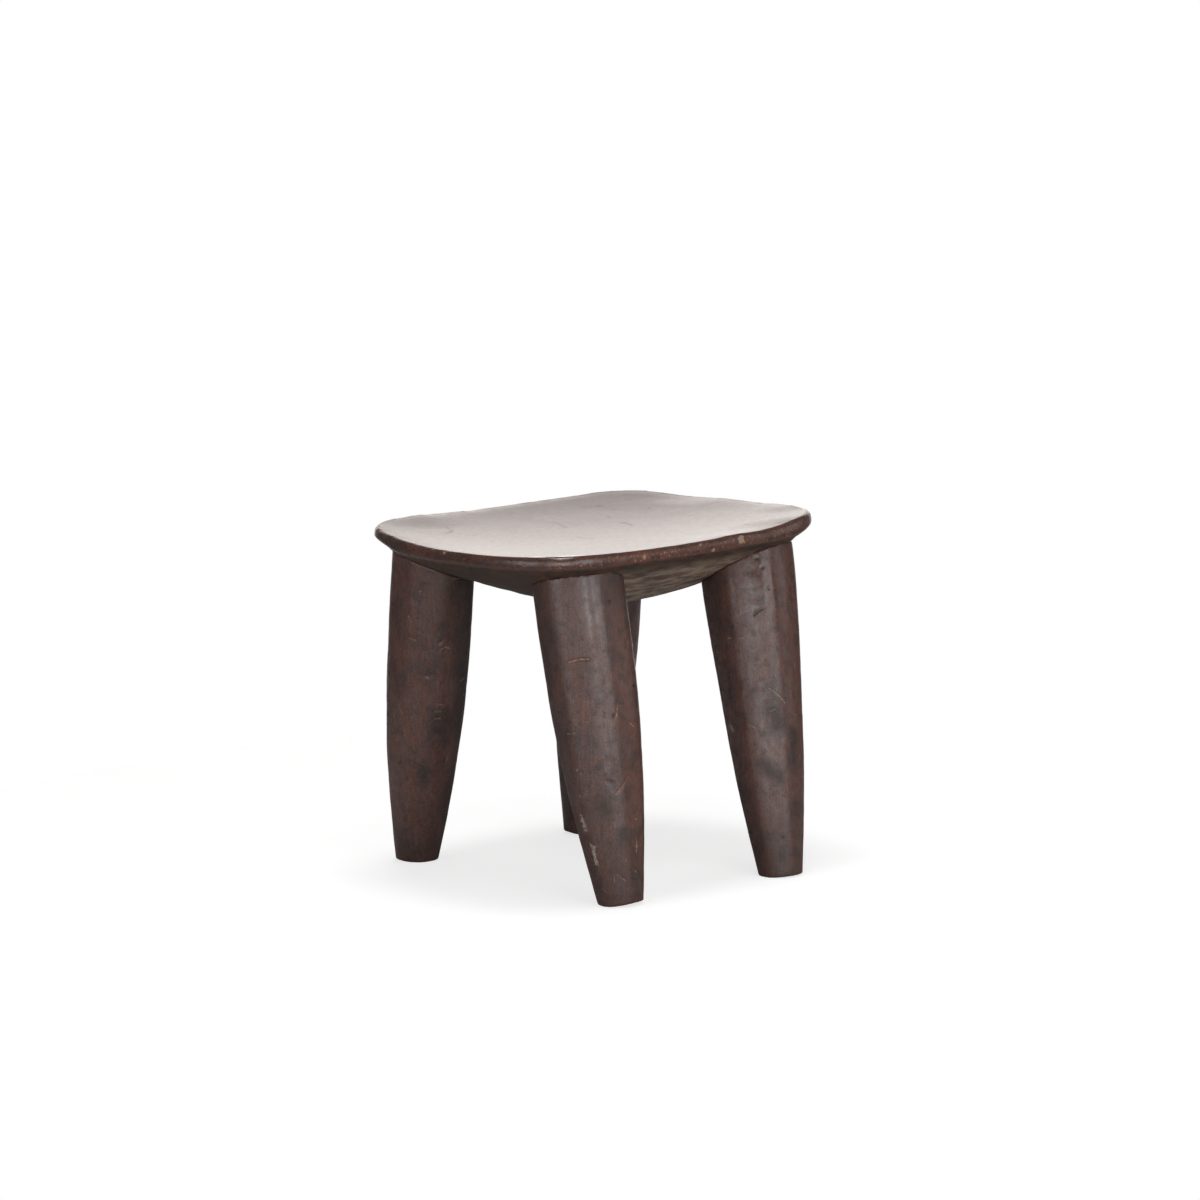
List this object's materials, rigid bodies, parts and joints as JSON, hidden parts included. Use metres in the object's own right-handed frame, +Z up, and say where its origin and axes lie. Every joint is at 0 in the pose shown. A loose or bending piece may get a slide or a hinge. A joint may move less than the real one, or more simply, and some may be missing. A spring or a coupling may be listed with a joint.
{
  "type": "carved wooden stool",
  "caption": "Low carved hardwood stool with a dished rounded-rectangle seat on splayed, tapering round legs tenoned into the bowl-shaped underside.",
  "frame": {"origin": "on the ground, under the middle of the seat", "axes": "+Z up, +Y along the seat's long direction, +X across it"},
  "size_m": [0.375, 0.4128, 0.3529],
  "materials": {
    "seat_wood": "dark brown hardwood, waxed and polished by use",
    "leg_wood": "dark brown hardwood, satin, with tool facets and worn edges",
    "wedge_wood": "plain split hardwood, unfinished"
  },
  "bodies": {
    "root": {"seat": "seat_wood", "leg_front_left": "leg_wood", "leg_front_right": "leg_wood", "leg_back_right": "leg_wood", "leg_back_left": "leg_wood", "tenon_wedge_front_left": "wedge_wood", "tenon_wedge_front_right": "wedge_wood", "tenon_wedge_back_right": "wedge_wood", "tenon_wedge_back_left": "wedge_wood"}
  },
  "joints": []
}
